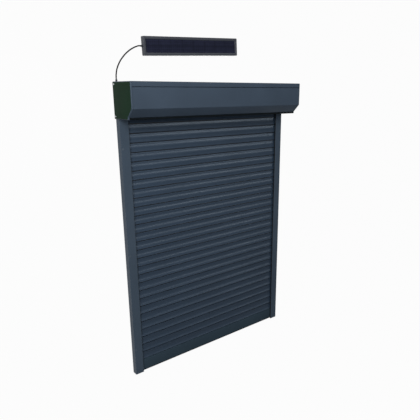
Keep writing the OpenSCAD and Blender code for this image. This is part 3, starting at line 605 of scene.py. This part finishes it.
def softbox(name, place, target, width, depth, power, tint):
    """A soft rectangular lamp that faces a point."""
    lamp = bpy.data.lights.new(name, "AREA")
    lamp.shape = "RECTANGLE"
    lamp.size = width
    lamp.size_y = depth
    lamp.energy = power
    lamp.color = tint
    holder = bpy.data.objects.new(name, lamp)
    holder.location = place
    holder.rotation_euler = (Vector(target) - Vector(place)).to_track_quat("-Z", "Y").to_euler()
    holder.visible_camera = False
    bpy.context.scene.collection.objects.link(holder)


def pale_sweep():
    """Matt studio paper, lit to an even white with only a trace of shadow."""
    material = bpy.data.materials.new("studio_paper")
    material.use_nodes = True
    tree = material.node_tree
    tree.nodes.clear()
    rays = add(tree, "ShaderNodeLightPath")
    direct = add(tree, "ShaderNodeMath",
                 {0: rays.outputs["Is Camera Ray"], 1: rays.outputs["Is Glossy Ray"]},
                 operation="MAXIMUM")
    seen = add(tree, "ShaderNodeMath",
               {0: direct.outputs[0], 1: rays.outputs["Is Transmission Ray"]},
               operation="MAXIMUM")
    axes = add(tree, "ShaderNodeSeparateXYZ",
               {"Vector": add(tree, "ShaderNodeTexCoord").outputs["Object"]})
    front = add(tree, "ShaderNodeMath", {0: rays.outputs["Is Camera Ray"], 1: FRONT_GLOW},
                operation="MULTIPLY")
    near = add(tree, "ShaderNodeMapRange",
               {"Value": axes.outputs["Y"], "From Min": PAPER_FADE[0], "From Max": PAPER_FADE[1],
                "To Min": front.outputs[0], "To Max": PAPER_GLOW}, interpolation_type="SMOOTHSTEP")
    share = add(tree, "ShaderNodeMath", {0: seen.outputs[0], 1: near.outputs["Result"]},
                operation="MULTIPLY")
    paper = add(tree, "ShaderNodeBsdfDiffuse", {"Color": (*PAPER_TONE, 1.0)})
    glow = add(tree, "ShaderNodeEmission", {"Color": (1.0, 1.0, 1.0, 1.0), "Strength": 1.0})
    mix = add(tree, "ShaderNodeMixShader",
              {0: share.outputs[0], 1: paper.outputs[0], 2: glow.outputs[0]})
    add(tree, "ShaderNodeOutputMaterial", {"Surface": mix.outputs[0]})
    return material


def studio_air():
    """Soft light from above. The camera sees the dim horizon as pale."""
    world = bpy.data.worlds.new("studio")
    world.use_nodes = True
    tree = world.node_tree
    axes = add(tree, "ShaderNodeSeparateXYZ",
               {"Vector": add(tree, "ShaderNodeTexCoord").outputs["Generated"]})
    rise = add(tree, "ShaderNodeMapRange",
               {"Value": axes.outputs["Z"], "From Min": AIR_RISE[0], "From Max": AIR_RISE[1],
                "To Min": AIR_GLOW[0], "To Max": AIR_GLOW[1]}, interpolation_type="SMOOTHSTEP")
    rays = add(tree, "ShaderNodeLightPath")
    seen = add(tree, "ShaderNodeMath", {0: rays.outputs["Is Camera Ray"], 1: FRONT_GLOW},
               operation="MULTIPLY")
    glow = add(tree, "ShaderNodeMath", {0: rise.outputs["Result"], 1: seen.outputs[0]},
               operation="MAXIMUM")
    tree.nodes["Background"].inputs["Color"].default_value = (*AIR_TONE, 1.0)
    tree.links.new(glow.outputs[0], tree.nodes["Background"].inputs["Strength"])
    return world


class SHUTTER_OT_stage(bpy.types.Operator):
    """Sets the camera, the lamps and a pale floor that bends up into a backdrop"""

    bl_idname = "shutter.stage"
    bl_label = "Stage"

    def execute(self, context):
        scene = context.scene
        scene.view_settings.view_transform = "Standard"
        make_finishes(scene)
        lens = bpy.data.cameras.new("camera")
        lens.lens = CAMERA_LENS
        lens.shift_x, lens.shift_y = CAMERA_SHIFT
        camera = bpy.data.objects.new("camera", lens)
        camera.location = CAMERA_PLACE
        camera.rotation_euler = (math.radians(CAMERA_TILT), 0.0, math.radians(CAMERA_TURN))
        scene.collection.objects.link(camera)
        scene.camera = camera

        centre = (BACKDROP_Y - STAGE_BEND, FLOOR_Z + STAGE_BEND)
        section = [(STAGE_FRONT, FLOOR_Z), *arc(centre, STAGE_BEND, -90, 0, STAGE_STEPS),
                   (BACKDROP_Y, STAGE_TOP)]
        bm = bmesh.new()
        sides = [[bm.verts.new((x, *point)) for point in section]
                 for x in (-STAGE_HALF_WIDTH, STAGE_HALF_WIDTH)]
        for i in range(len(section) - 1):
            bm.faces.new((sides[0][i], sides[1][i], sides[1][i + 1], sides[0][i + 1]))
        mesh = bpy.data.meshes.new("sweep")
        bm.to_mesh(mesh)
        bm.free()
        mesh.shade_smooth()
        mesh.materials.append(pale_sweep())
        sweep = bpy.data.objects.new("sweep", mesh)
        scene.collection.objects.link(sweep)

        scene.world = studio_air()
        for lamp in LAMPS:
            softbox(*lamp)
        return {"FINISHED"}


# Cable

# Points of the cable in metres, from the tip of the box's gland to the tip of the panel's
CABLE_ROUTE = [
    (-0.4380, -0.0140, 1.2580), (-0.4380, -0.0140, 1.2671), (-0.4367, -0.0142, 1.2786),
    (-0.4332, -0.0145, 1.2932), (-0.4267, -0.0150, 1.3084), (-0.4175, -0.0157, 1.3236),
    (-0.4057, -0.0166, 1.3381), (-0.3911, -0.0176, 1.3521), (-0.3744, -0.0186, 1.3642),
    (-0.3567, -0.0194, 1.3734), (-0.3405, -0.0200, 1.3790), (-0.3303, -0.0200, 1.3794)]
# Outlines of a gland's nut and of its dome: radius as a share of half its width, and height
NUT = ((0.9, 0.0), (1.0, 0.0003), (1.0, 0.0026), (0.92, 0.0029))
NUT_SIDES = 6
DOME = ((0.86, 0.0029), (0.86, 0.0058), (0.74, 0.0071))
# The dome's rim round the cable, its height, and the share of the radius that the grooves take
DOME_RIM = 0.0004
DOME_TOP = 0.0079
DOME_GROOVE = 0.07
# Room round the stem of a gland, and the stem's ends
STEM_ROOM = 0.0001
STEM_ENDS = (-0.004, 0.0001)


def smooth_route(points):
    """The points with one more between each two, halfway along a Catmull-Rom curve."""
    ends = [Vector(point) for point in (points[0], *points, points[-1])]
    route = []
    for before, here, ahead, after in zip(ends, ends[1:], ends[2:], ends[3:]):
        route += [here, (9 * (here + ahead) - before - after) / 16]
    return route + [ends[-1]]


class SHUTTER_OT_cable(bpy.types.Operator):
    """Runs the cable from the box to the solar panel, with a gland at each end"""

    bl_idname = "shutter.cable"
    bl_label = "Cable and glands"

    def execute(self, context):
        sizes = context.scene.panel_sizes
        line = bpy.data.curves.new("solar_cable", "CURVE")
        line.dimensions = "3D"
        line.bevel_depth = sizes.cable / 2
        line.bevel_resolution = 5
        line.resolution_u = 4
        route = smooth_route(CABLE_ROUTE)
        spline = line.splines.new("BEZIER")
        spline.bezier_points.add(len(route) - 1)
        for knot, place in zip(spline.bezier_points, route):
            knot.co = place
            knot.handle_left_type = knot.handle_right_type = "AUTO"
        line.materials.append(FINISHES["cable_sheath"])
        cable = bpy.data.objects.new("solar_cable_run", line)
        context.scene.collection.objects.link(cable)
        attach(cable, FIXED)
        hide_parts("solar_cable")

        bm = bmesh.new()
        place = panel_place(sizes)
        edge = place @ Vector((-sizes.width / 2, route[-1].y, 0.0))
        self.gland(bm, sizes, (route[0].x, route[0].y, BOX_TOP), (0, 0, 1))
        self.gland(bm, sizes, edge, place.to_3x3() @ Vector((-1, 0, 0)))
        glands = make_piece("cable_gland_pair", bm, "dark_plastic", FIXED, ["cable_glands"])
        return {"FINISHED"}

    @staticmethod
    def gland(bm, sizes, place, axis):
        """A hexagonal nut, a ribbed dome nut and a stem in the wall."""
        half = sizes.gland / 2
        cable = sizes.cable / 2
        nut = [(half * share, height) for share, height in NUT]
        stack(bm, turned(nut, place, axis, NUT_SIDES))
        dome = [(half * share, height) for share, height in DOME]
        rings = turned([*dome, (cable + DOME_RIM, DOME_TOP)], place, axis, TURNED_SIDES)
        floors = [(radius * (1 - DOME_GROOVE), height) for radius, height in dome[:2]]
        for ring, groove in zip(rings, turned(floors, place, axis, TURNED_SIDES)):
            ring[::2] = groove[::2]
        stack(bm, rings)
        stem = [(cable - STEM_ROOM, height) for height in STEM_ENDS]
        stack(bm, turned(stem, place, axis, TURNED_SIDES))


# Box

# Faces of an end cap that look along X less than this belong to its rim
RIM_FACING = 0.8
# Outline of a cap screw from its tip: radius, and height over the cap
SCREW = ((0.0008, -0.0150), (0.0018, -0.0138), (0.0018, 0.0), (0.0038, 0.0), (0.0038, 0.0006),
         (0.0036, 0.0013), (0.0031, 0.0019), (0.0026, 0.0022))
# Its cross recess: length and half width of an arm, heights of rim and floor, and turn in radians
CROSS_ARM = 0.0019
CROSS_HALF = 0.00055
CROSS_LEVELS = (0.0022, 0.0010)
CROSS_TURN = 0.5


class SHUTTER_OT_box(bpy.types.Operator):
    """Bends the box sheets and gives them their coat"""

    bl_idname = "shutter.box"
    bl_label = "Box sheets"

    def execute(self, context):
        s = context.scene.box_sizes
        front_bottom = BOX_BOTTOM + s.under_lip + s.bevel
        bevel_back = BOX_FRONT + s.bevel
        lip_y = bevel_back + s.sheet
        cover_top = BOX_TOP - s.lip - s.joint
        tuck_y = BOX_FRONT + s.sheet + s.tuck_room
        slot_y = corner("box_underside", 1, "y")
        paths = {
            "box_top_panel": [(0, BOX_TOP), (BOX_FRONT, BOX_TOP), (BOX_FRONT, BOX_TOP - s.lip)],
            "box_front_cover": [
                (tuck_y, cover_top + s.joint + s.tuck), (tuck_y, cover_top), (BOX_FRONT, cover_top),
                (BOX_FRONT, front_bottom), (bevel_back, BOX_BOTTOM + s.under_lip),
                (bevel_back + s.under_lip, BOX_BOTTOM + s.under_lip)],
            "box_underside": [
                (lip_y, BOX_BOTTOM + s.under_lip), (lip_y, BOX_BOTTOM), (slot_y, BOX_BOTTOM),
                (slot_y, BOX_BOTTOM + s.slot_edge)],
        }
        end = SHEET_END - s.seam
        for node, path in paths.items():
            bm = bmesh.new()
            bar_along_x(bm, bent_sheet(path, s.sheet, s.bend), -end, end)
            # The underside and its lip take a near-black coat: painted shade under the bevel
            slot = "underside_coat" if node == "box_underside" else "box_coat"
            make_piece(node + "_sheet", bm, slot, FIXED, [node], STRIP_SHARP)
        finish_node("box_back_panel")
        return {"FINISHED"}


class SHUTTER_OT_end_caps(bpy.types.Operator):
    """Moulds the two end caps with round outer edges, and drives their screws"""

    bl_idname = "shutter.end_caps"
    bl_label = "End caps and screws"

    def execute(self, context):
        s = context.scene.box_sizes
        outline = [
            (0.0, BOX_TOP), (BOX_FRONT, BOX_TOP), (BOX_FRONT, BOX_BOTTOM + s.under_lip + s.bevel),
            (BOX_FRONT + s.bevel, BOX_BOTTOM + s.under_lip), (BOX_FRONT + s.bevel, BOX_BOTTOM),
            (0.0, BOX_BOTTOM)]
        for node, side in (("left_end_cap", -1), ("right_end_cap", 1)):
            bm = bmesh.new()
            stack(bm, self.plate_rings(outline, s, side))
            low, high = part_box(node)
            self.inner_pieces(bm, s, side, low, high)
            plate = make_piece(node + "_plate", bm, "end_cap_coat", FIXED, [node], MOULD_SHARP)
            # The rim is finished like the sheets beside it. The flat sides keep a darker green tone
            # on what is the box's coat: painted shade and a painted green reflection
            plate.data.materials.append(FINISHES["box_coat"])
            for face in plate.data.polygons:
                outside = abs(face.center.x) > SHEET_END
                face.material_index = int(outside and abs(face.normal.x) < RIM_FACING)
        bm = bmesh.new()
        for side in (-1, 1):
            for z in (BOX_BOTTOM + s.screw_z, BOX_TOP - s.screw_z):
                self.screw(bm, (side * BOX_END, -s.screw_y, z), (side, 0, 0))
        make_piece("cap_screws", bm, "screw_steel", FIXED, ["box_screws"])
        return {"FINISHED"}

    @staticmethod
    def plate_rings(outline, s, side):
        """Rings from the inner face, over the round edge, to the flat outer face."""
        rings = []
        levels = [(SHEET_END, 0.0)]
        levels += [(BOX_END - s.cap_round + x, s.cap_round - y)
                   for y, x in arc((0, 0), s.cap_round, 0, 90, CAP_STEPS)]
        for x, depth in levels:
            corners = [max(s.bend - depth, FINE_EDGE)] * len(outline)
            ring = rounded(inset(outline, depth), corners)
            rings.append([(side * x, y, z) for y, z in ring])
        return rings

    @staticmethod
    def inner_pieces(bm, s, side, low, high):
        """The tongues behind the sheets, and the peg in the rail with its foot."""
        room = s.sheet + FIT
        half = s.tongue / 2
        tongue = (low.x if side > 0 else high.x, side * SHEET_END)
        y, z = BOX_FRONT / 2, (BOX_TOP + BOX_BOTTOM) / 2
        across = (y - half, y + half)
        peg = (-s.peg_y - s.peg_d, -s.peg_y)
        for (x0, x1), (y0, y1), z0, z1 in (
                (tongue, across, BOX_TOP - room - s.tongue_t, BOX_TOP - room),
                (tongue, across, BOX_BOTTOM + room, BOX_BOTTOM + room + s.tongue_t),
                (tongue, (-room - s.tongue_t, -room), z - half, z + half),
                ((side * s.peg_x, side * (s.peg_x + s.peg_w)), peg, low.z, BOX_BOTTOM),
                ((side * s.peg_x, side * SHEET_END), peg, BOX_BOTTOM, BOX_BOTTOM + s.peg_foot)):
            block(bm, (min(x0, x1), y0, z0), (max(x0, x1), y1, z1), FINE_EDGE)

    @staticmethod
    def screw(bm, place, axis):
        """A pan-head screw with a cross recess."""
        rings = turned(SCREW, place, axis, TURNED_SIDES)
        made = [[bm.verts.new(point) for point in ring] for ring in rings]
        for near, far in zip(made, made[1:]):
            skin(bm, near, far)
        bm.faces.new(made[0])
        quarter = [(CROSS_ARM, -CROSS_HALF), (CROSS_ARM, CROSS_HALF), (CROSS_HALF, CROSS_HALF)]
        cross = []
        for _ in range(4):
            cross += quarter
            quarter = [(-y, x) for x, y in quarter]
        upright = Vector(axis).to_track_quat("Z", "Y").to_matrix()
        turn = upright @ Matrix.Rotation(CROSS_TURN, 3, "Z")
        levels = [[bm.verts.new(Vector(place) + turn @ Vector((x, y, h))) for x, y in cross]
                  for h in CROSS_LEVELS]
        skin(bm, *levels)
        bm.faces.new(levels[1])
        fill(bm, [made[-1], levels[0]])


# Rails

class SHUTTER_OT_rails(bpy.types.Operator):
    """Coats the guide rails and their seals, inlets and plugs"""

    bl_idname = "shutter.rails"
    bl_label = "Guide rails"

    def execute(self, context):
        for node in ("left_rail", "right_rail", "rail_seals", "rail_inlets"):
            finish_node(node)
        finish_node("rail_plugs", "matched_plastic")
        return {"FINISHED"}


# Curtain

# Share of a rounding that its middle lies in from the corner
MID_ROUND = 0.3
# Faces that look up more than this are level
LEVEL = 0.9


def on_curtain(outline, z=0.0):
    """An outline moved to the curtain's middle and up to a height."""
    return [(CURTAIN_Y + y, z + h) for y, h in outline]


def hook(s, hook_y, shoulder):
    """The neck on a shoulder with its bead, from the front to the back."""
    socket_z = s.hook_lip + s.bead / 2 + s.play
    bead_z = shoulder + s.groove + socket_z + s.play / 2
    neck_turn = math.degrees(math.asin(s.neck / s.bead))
    bead = arc((hook_y, bead_z), s.bead / 2, 270 - neck_turn, -90 + neck_turn, CURVE_STEPS)
    return [(hook_y - s.neck / 2, shoulder), *bead, (hook_y + s.neck / 2, shoulder)]


def slat_section(s):
    """Outlines of a slat and of its hollow, from its own foot."""
    body = SLAT_PITCH - s.groove
    depth = s.slat + s.dish
    front_r = ((body / 2) ** 2 + s.dish ** 2) / (2 * s.dish)
    centre = (s.dish - depth / 2 - front_r, body / 2)

    def bow(radius, z0, z1, steps):
        """Points on a curve about the slat's centre, between two heights."""
        ends = [math.degrees(math.asin((z - centre[1]) / radius)) for z in (z0, z1)]
        return arc(centre, radius, *ends, steps)

    socket_r = s.bead / 2 + s.play
    socket_z = s.hook_lip + socket_r
    hook_y = centre[0] + math.sqrt((front_r + s.slat / 2) ** 2 - (body / 2 - socket_z) ** 2)
    slot = s.neck / 2 + s.play
    slot_turn = math.degrees(math.asin(slot / socket_r))
    foot, brow = bow(front_r, 0.0, body, 1)
    # The front edges are rounded by stepping the ends of the front curve inwards
    step = s.arris * MID_ROUND
    outline = [
        (foot[0] + s.arris, 0.0), (foot[0] + step, step),
        *bow(front_r, s.arris, body - s.arris, CURVE_STEPS),
        (brow[0] + step, body - step), (brow[0] + s.arris, body), *hook(s, hook_y, body),
        *bow(front_r + s.slat, body, 0.0, CURVE_STEPS), (hook_y + slot, 0.0),
        *arc((hook_y, socket_z), socket_r, -90 + slot_turn, 270 - slot_turn, CURVE_STEPS),
        (hook_y - slot, 0.0)]
    low, high = socket_z + socket_r + s.wall, body - s.wall
    hollow = bow(front_r + s.wall, low, high, HOLLOW_STEPS)
    hollow += bow(front_r + s.slat - s.wall, high, low, HOLLOW_STEPS)
    return outline, hollow


class SHUTTER_OT_slats(bpy.types.Operator):
    """Forms the slats of the curtain with their hooks, beads and end clips"""

    bl_idname = "shutter.slats"
    bl_label = "Slats"

    def execute(self, context):
        s = context.scene.curtain_sizes
        outline, hollow = slat_section(s)
        first = corner(SLATS[0], 0, "z")
        # Raised, the curtain gathers in the box, just over the bar's bead
        clips = bmesh.new()
        for index, node in enumerate(SLATS):
            z = first + index * SLAT_PITCH
            hole = on_curtain(hollow, z)
            bm = bmesh.new()
            bar_along_x(bm, on_curtain(outline, z), -SLAT_END, SLAT_END, [hole])
            strip = make_piece(node + "_strip", bm, "slat_coat", FIXED, [node], STRIP_SHARP)
            # The neck and the bead take a near-black lacquer: painted shade for the groove between
            # two slats
            strip.data.materials.append(FINISHES["groove_shade_lacquer"])
            shoulder = z + SLAT_PITCH - s.groove
            for face in strip.data.polygons:
                lowest = min(strip.data.vertices[i].co.z for i in face.vertices)
                face.material_index = int(lowest > shoulder - NEAR and face.normal.z < LEVEL)
            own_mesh(strip)
            if index % 2 == 0:
                self.clip_pair(clips, s, hole)
        piece = make_piece("slat_clips", clips, "dark_plastic", FIXED, ["slat_end_clips"])
        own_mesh(piece)
        finish_node("hanger_straps")
        return {"FINISHED"}

    @staticmethod
    def clip_pair(bm, s, hole):
        """A clip in each end of a slat: a head on the end and a stem in the hollow."""
        stem = inset(hole, FIT)
        head = inset(hole, FIT - s.wall)
        for side in (-1, 1):
            for shape, reach in ((head, s.clip), (stem, -s.clip_stem)):
                ends = sorted((side * SLAT_END, side * (SLAT_END + reach)))
                bar_along_x(bm, shape, *ends)


class SHUTTER_OT_bottom_bar(bpy.types.Operator):
    """Shapes the bottom bar, and gives its rubber seal and end stops their finishes"""

    bl_idname = "shutter.bottom_bar"
    bl_label = "Bottom bar"

    def execute(self, context):
        s = context.scene.curtain_sizes
        shoulder = corner(SLATS[0], 0, "z") - s.groove
        half = s.bar / 2
        hook_y = (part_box("slat_01")[0].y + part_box("slat_01")[1].y) / 2 - CURTAIN_Y
        slot, slot_top = s.seal_slot / 2, s.seal + s.seal_stem + FIT
        body = rounded([(-half, s.seal), (-slot, s.seal), (-slot, slot_top), (slot, slot_top),
                        (slot, s.seal), (half, s.seal), (half, shoulder), (-half, shoulder)],
                       [s.bar_arris, *[FINE_EDGE] * 4, *[s.bar_arris] * 3])
        hollow = rounded(rectangle(s.bar_wall - half, half - s.bar_wall, slot_top + s.bar_wall,
                                   shoulder - s.bar_wall), [2 * FINE_EDGE] * 4, EDGE_STEPS)
        bm = bmesh.new()
        bar_along_x(bm, on_curtain(body), -SLAT_END, SLAT_END, [on_curtain(hollow)])
        bar_along_x(bm, on_curtain(hook(s, hook_y, shoulder)), -SLAT_END, SLAT_END)
        make_piece("bottom_bar_profile", bm, "bar_coat", LIFTED, ["bottom_bar"], STRIP_SHARP)
        finish_node("bottom_seal")
        finish_node("bar_stops")
        return {"FINISHED"}


# Solar panel

# Depth and width of the soft start of the border's slope, and the frame's edge behind it
SLOPE_START = (0.0003, 0.0008)
SLOPE_EDGE = 0.0001


class SHUTTER_OT_solar_panel(bpy.types.Operator):
    """Makes the solar panel's frame and its glazed cells"""

    bl_idname = "shutter.solar_panel"
    bl_label = "Solar panel"

    def execute(self, context):
        s = context.scene.panel_sizes
        place = panel_place(s)
        low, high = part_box("panel_frame")
        glass_y = low.y + s.wall
        levels = [(high.y, 0.0)]
        levels += [(low.y + s.edge - x, s.edge - y)
                   for y, x in arc((0, 0), s.edge, 0, 90, BEND_STEPS)]
        flat = s.border - s.slope
        levels += [(low.y, flat), (low.y + SLOPE_START[0], flat + SLOPE_START[1]),
                   (glass_y, s.border), (glass_y + SLOPE_EDGE, s.border),
                   (glass_y + SLOPE_EDGE, s.wall), (high.y, s.wall)]
        bm = bmesh.new()
        stack(bm, [self.ring(s, y, depth) for y, depth in levels], closed=True)
        make_piece("panel_frame_profile", bm, "panel_frame_coat", FIXED, ["panel_frame"],
                   MOULD_SHARP, place)
        low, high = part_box("panel_cells")
        inner = s.wall + FIT
        levels = [(low.y, inner + FINE_EDGE), (low.y + FINE_EDGE, inner),
                  (high.y - FINE_EDGE, inner), (high.y, inner + FINE_EDGE)]
        bm = bmesh.new()
        stack(bm, [self.ring(s, y, depth) for y, depth in levels])
        make_piece("glazed_cells", bm, "cell_glass", FIXED, ["panel_cells"], MOULD_SHARP, place)
        finish_node("panel_brackets")
        return {"FINISHED"}

    @staticmethod
    def ring(s, y, depth):
        """A rectangle with round corners in X and Z, set in from the panel's edge."""
        outline = inset(rectangle(-s.width / 2, s.width / 2, -s.height / 2, s.height / 2), depth)
        corners = rounded(outline, [max(s.turn - depth, FINE_EDGE)] * 4)
        return [(x, y, z) for x, z in corners]


class SHUTTER_OT_drive(bpy.types.Operator):
    """Gives the drive and the battery in the box their finishes"""

    bl_idname = "shutter.drive"
    bl_label = "Drive"

    def execute(self, context):
        for node in ("winding_tube", "motor_tube", "motor_head", "motor_bracket", "limit_crown",
                     "drive_wheel", "idler_cap", "idler_bearing", "battery_pack"):
            finish_node(node)
        return {"FINISHED"}


class SHUTTER_PT_sidebar(bpy.types.Panel):
    """Lists the steps that dress the shutter, and its settings"""

    bl_label = "Roller shutter"
    bl_idname = "SHUTTER_PT_sidebar"
    bl_space_type = "VIEW_3D"
    bl_region_type = "UI"
    bl_category = "Shutter"

    def draw(self, context):
        for step in STEPS:
            self.layout.operator(step.bl_idname)
        for name in SETTINGS:
            group = getattr(context.scene, name)
            for setting in group.__annotations__:
                self.layout.prop(group, setting)


STEPS = (SHUTTER_OT_stage, SHUTTER_OT_cable, SHUTTER_OT_box, SHUTTER_OT_end_caps, SHUTTER_OT_rails,
         SHUTTER_OT_slats, SHUTTER_OT_bottom_bar, SHUTTER_OT_solar_panel, SHUTTER_OT_drive)
SETTINGS = {"box_sizes": BoxSizes, "curtain_sizes": CurtainSizes, "panel_sizes": PanelSizes,
            "shutter_colours": Colours}


def register():
    """Makes the settings, the steps and the sidebar known."""
    for name, group in SETTINGS.items():
        bpy.utils.register_class(group)
        setattr(bpy.types.Scene, name, PointerProperty(type=group))
    for item in (*STEPS, SHUTTER_PT_sidebar):
        bpy.utils.register_class(item)


def unregister():
    """Takes them out again."""
    for item in (SHUTTER_PT_sidebar, *STEPS):
        bpy.utils.unregister_class(item)
    for name, group in SETTINGS.items():
        delattr(bpy.types.Scene, name)
        bpy.utils.unregister_class(group)


def main():
    """Dresses the shutter."""
    register()
    for step in STEPS:
        family, name = step.bl_idname.split(".")
        getattr(getattr(bpy.ops, family), name)()


if __name__ == "__main__":
    main()
